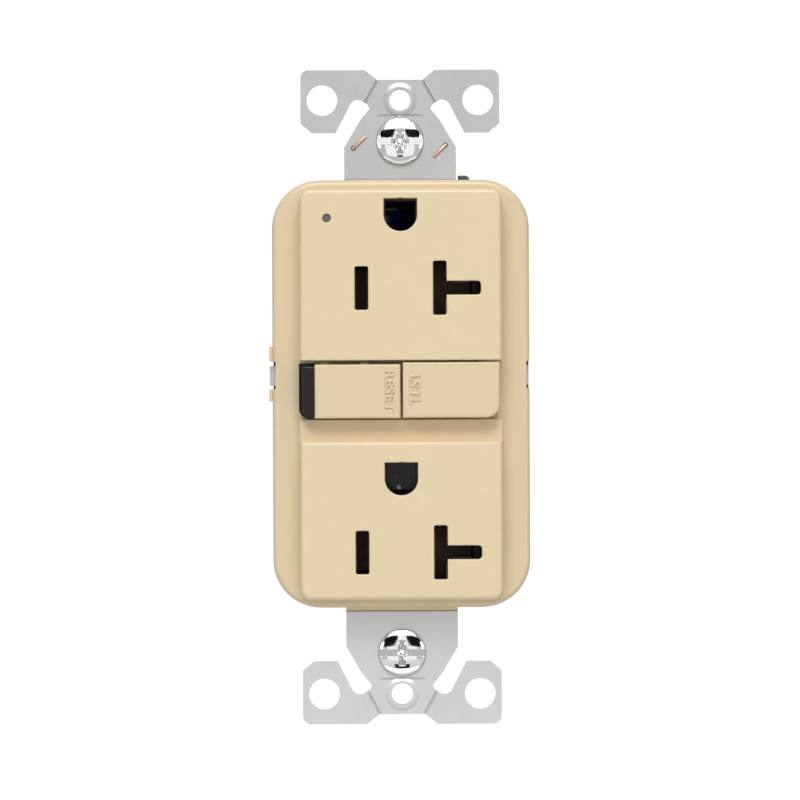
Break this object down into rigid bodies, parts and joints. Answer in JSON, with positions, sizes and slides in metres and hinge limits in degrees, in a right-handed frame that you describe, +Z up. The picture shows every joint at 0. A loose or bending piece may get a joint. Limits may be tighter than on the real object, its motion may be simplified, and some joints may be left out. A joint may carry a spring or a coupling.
{
  "type": "gfci outlet",
  "caption": "Duplex ground-fault outlet with T-slot contacts, reset and test buttons, steel mounting strap and side wiring terminals",
  "frame": {"origin": "on the strap's back face, midway between the two box screws", "axes": "+Y goes into the wall box, the face looks towards -Y, +Z is up along the long axis with the ground holes up"},
  "size_m": [0.0423, 0.0354, 0.1066],
  "materials": {
    "ivory_nylon": "semi-gloss moulded nylon",
    "black_nylon": "polished black nylon",
    "charcoal_nylon": "matt glass-filled nylon",
    "grey_nylon": "matt nylon",
    "zinc_steel": "zinc plated",
    "chrome_steel": "bright plated",
    "brass": "stamped brass",
    "nickel": "nickel plated",
    "bronze": "phosphor bronze",
    "green_steel": "green dyed plating",
    "fibre": "vulcanised fibre",
    "board": "solder mask on glass epoxy",
    "copper_coil": "enamelled copper winding",
    "ferrite": "sintered ferrite",
    "blue_epoxy": "epoxy dipped",
    "yellow_film": "potted film capacitor",
    "clear_plastic": "clear moulding",
    "resistor_body": "lacquered film resistor",
    "spring_steel": "drawn wire"
  },
  "bodies": {
    "housing": {"assembly_screws": "zinc_steel", "auto_ground_clip": "bronze", "circuit_board": "board", "contact_carrier": "grey_nylon", "control_chip": "black_nylon", "filter_capacitor": "yellow_film", "front_cover": "ivory_nylon", "ground_contact_lower": "bronze", "ground_contact_upper": "bronze", "hot_face_contact": "bronze", "light_pipe": "clear_plastic", "line_hot_conductor": "brass", "line_hot_terminal": "brass", "line_neutral_conductor": "brass", "line_neutral_terminal": "nickel", "load_hot_terminal": "brass", "load_neutral_terminal": "nickel", "mounting_strap": "zinc_steel", "neutral_face_contact": "bronze", "neutral_transformer_core": "ferrite", "plunger_spring": "spring_steel", "rear_cover": "charcoal_nylon", "reset_spring": "spring_steel", "resistors": "resistor_body", "sense_transformer_core": "ferrite", "solenoid_bobbin": "black_nylon", "solenoid_coil": "copper_coil", "solenoid_frame": "zinc_steel", "status_led": "clear_plastic", "thyristor": "black_nylon", "transformer_case": "black_nylon", "varistor": "blue_epoxy"},
    "reset": {"reset_button": "ivory_nylon", "reset_carrier": "black_nylon", "reset_pin": "chrome_steel"},
    "test": {"test_button": "ivory_nylon"},
    "test_blade": {"test_blade": "bronze"},
    "plunger": {"solenoid_plunger": "chrome_steel"},
    "latch_block": {"latch_block": "grey_nylon"},
    "latch_plate": {"latch_plate": "zinc_steel"},
    "hot_arm": {"line_hot_arm": "bronze"},
    "neutral_arm": {"line_neutral_arm": "bronze"},
    "ground_screw": {"ground_screw": "green_steel"},
    "line_hot_clamp": {"line_hot_clamp": "brass"},
    "line_hot_screw": {"line_hot_screw": "brass"},
    "line_neutral_clamp": {"line_neutral_clamp": "nickel"},
    "line_neutral_screw": {"line_neutral_screw": "nickel"},
    "load_hot_clamp": {"load_hot_clamp": "brass"},
    "load_hot_screw": {"load_hot_screw": "brass"},
    "load_neutral_clamp": {"load_neutral_clamp": "nickel"},
    "load_neutral_screw": {"load_neutral_screw": "nickel"},
    "washer_upper": {"retaining_washer_upper": "fibre"},
    "mounting_screw_upper": {"mounting_screw_upper": "chrome_steel"},
    "washer_lower": {"retaining_washer_lower": "fibre"},
    "mounting_screw_lower": {"mounting_screw_lower": "chrome_steel"}
  },
  "joints": [
    {"name": "reset_press", "type": "slide", "parent": "housing", "child": "reset", "axis": [0, 1, 0], "range_m": [0, 0.0018], "stiffness_N_per_m": 450, "springref_m": -0.0022, "deforming": ["reset_spring"]},
    {"name": "test_press", "type": "slide", "parent": "housing", "child": "test", "axis": [0, 1, 0], "range_m": [0, 0.0015], "stiffness_N_per_m": 500, "springref_m": -0.0018},
    {"name": "test_blade_flex", "type": "hinge", "parent": "housing", "child": "test_blade", "pos_m": [0.0081, 0.0047, -0.0114], "axis": [-1, 0, 0], "range_deg": [0, 6.9]},
    {"name": "plunger_stroke", "type": "slide", "parent": "housing", "child": "plunger", "axis": [0, 0, -1], "range_m": [0, 0.0016], "stiffness_N_per_m": 120, "springref_m": -0.003, "deforming": ["plunger_spring"]},
    {"name": "latch_block_drop", "type": "slide", "parent": "housing", "child": "latch_block", "axis": [0, 1, 0], "range_m": [0, 0.0013]},
    {"name": "latch_plate_slide", "type": "slide", "parent": "latch_block", "child": "latch_plate", "axis": [0, 0, -1], "range_m": [0, 0.0016]},
    {"name": "hot_arm_flex", "type": "hinge", "parent": "housing", "child": "hot_arm", "pos_m": [-0.0085, 0.01115, -0.0205], "axis": [-1, 0, 0], "range_deg": [0, 3.16]},
    {"name": "neutral_arm_flex", "type": "hinge", "parent": "housing", "child": "neutral_arm", "pos_m": [0.0085, 0.01115, -0.0205], "axis": [-1, 0, 0], "range_deg": [0, 3.16]},
    {"name": "ground_screw_turn", "type": "hinge", "parent": "housing", "child": "ground_screw", "pos_m": [0.0094, 0.0052, 0.0319], "axis": [-1, 0, 0], "range_deg": [0, 720]},
    {"name": "line_hot_clamp_slide", "type": "slide", "parent": "housing", "child": "line_hot_clamp", "axis": [1, 0, 0], "range_m": [-0.0007, 0.0009]},
    {"name": "line_hot_screw_turn", "type": "hinge", "parent": "line_hot_clamp", "child": "line_hot_screw", "pos_m": [-0.0184, 0.0075, -0.0125], "axis": [1, 0, 0], "range_deg": [-317, 408]},
    {"name": "line_neutral_clamp_slide", "type": "slide", "parent": "housing", "child": "line_neutral_clamp", "axis": [-1, 0, 0], "range_m": [-0.0007, 0.0009]},
    {"name": "line_neutral_screw_turn", "type": "hinge", "parent": "line_neutral_clamp", "child": "line_neutral_screw", "pos_m": [0.0184, 0.0075, -0.0125], "axis": [-1, 0, 0], "range_deg": [-317, 408]},
    {"name": "load_hot_clamp_slide", "type": "slide", "parent": "housing", "child": "load_hot_clamp", "axis": [1, 0, 0], "range_m": [-0.0007, 0.0009]},
    {"name": "load_hot_screw_turn", "type": "hinge", "parent": "load_hot_clamp", "child": "load_hot_screw", "pos_m": [-0.0184, 0.0075, 0.0125], "axis": [1, 0, 0], "range_deg": [-317, 408]},
    {"name": "load_neutral_clamp_slide", "type": "slide", "parent": "housing", "child": "load_neutral_clamp", "axis": [-1, 0, 0], "range_m": [-0.0007, 0.0009]},
    {"name": "load_neutral_screw_turn", "type": "hinge", "parent": "load_neutral_clamp", "child": "load_neutral_screw", "pos_m": [0.0184, 0.0075, 0.0125], "axis": [-1, 0, 0], "range_deg": [-317, 408]},
    {"name": "mounting_screw_upper_float", "type": "slide", "parent": "housing", "child": "washer_upper", "axis": [0, -1, 0], "range_m": [0, 0.0012]},
    {"name": "mounting_screw_upper_turn", "type": "hinge", "parent": "washer_upper", "child": "mounting_screw_upper", "pos_m": [0, 0, 0.04167], "axis": [0, 1, 0], "continuous": true},
    {"name": "mounting_screw_lower_float", "type": "slide", "parent": "housing", "child": "washer_lower", "axis": [0, -1, 0], "range_m": [0, 0.0012]},
    {"name": "mounting_screw_lower_turn", "type": "hinge", "parent": "washer_lower", "child": "mounting_screw_lower", "pos_m": [0, 0, -0.04167], "axis": [0, 1, 0], "continuous": true}
  ],
  "couplings": [
    {"joint": "test_blade_flex", "follows": "test_press", "rad_per_m": 80},
    {"joint": "latch_block_drop", "follows": "plunger_stroke", "ratio": 0.8125},
    {"joint": "latch_plate_slide", "follows": "plunger_stroke", "ratio": 1},
    {"joint": "hot_arm_flex", "follows": "plunger_stroke", "rad_per_m": 34.375},
    {"joint": "neutral_arm_flex", "follows": "plunger_stroke", "rad_per_m": 34.375},
    {"joint": "line_hot_clamp_slide", "follows": "line_hot_screw_turn", "m_per_rad": 0.00012633},
    {"joint": "line_neutral_clamp_slide", "follows": "line_neutral_screw_turn", "m_per_rad": 0.00012633},
    {"joint": "load_hot_clamp_slide", "follows": "load_hot_screw_turn", "m_per_rad": 0.00012633},
    {"joint": "load_neutral_clamp_slide", "follows": "load_neutral_screw_turn", "m_per_rad": 0.00012633}
  ]
}
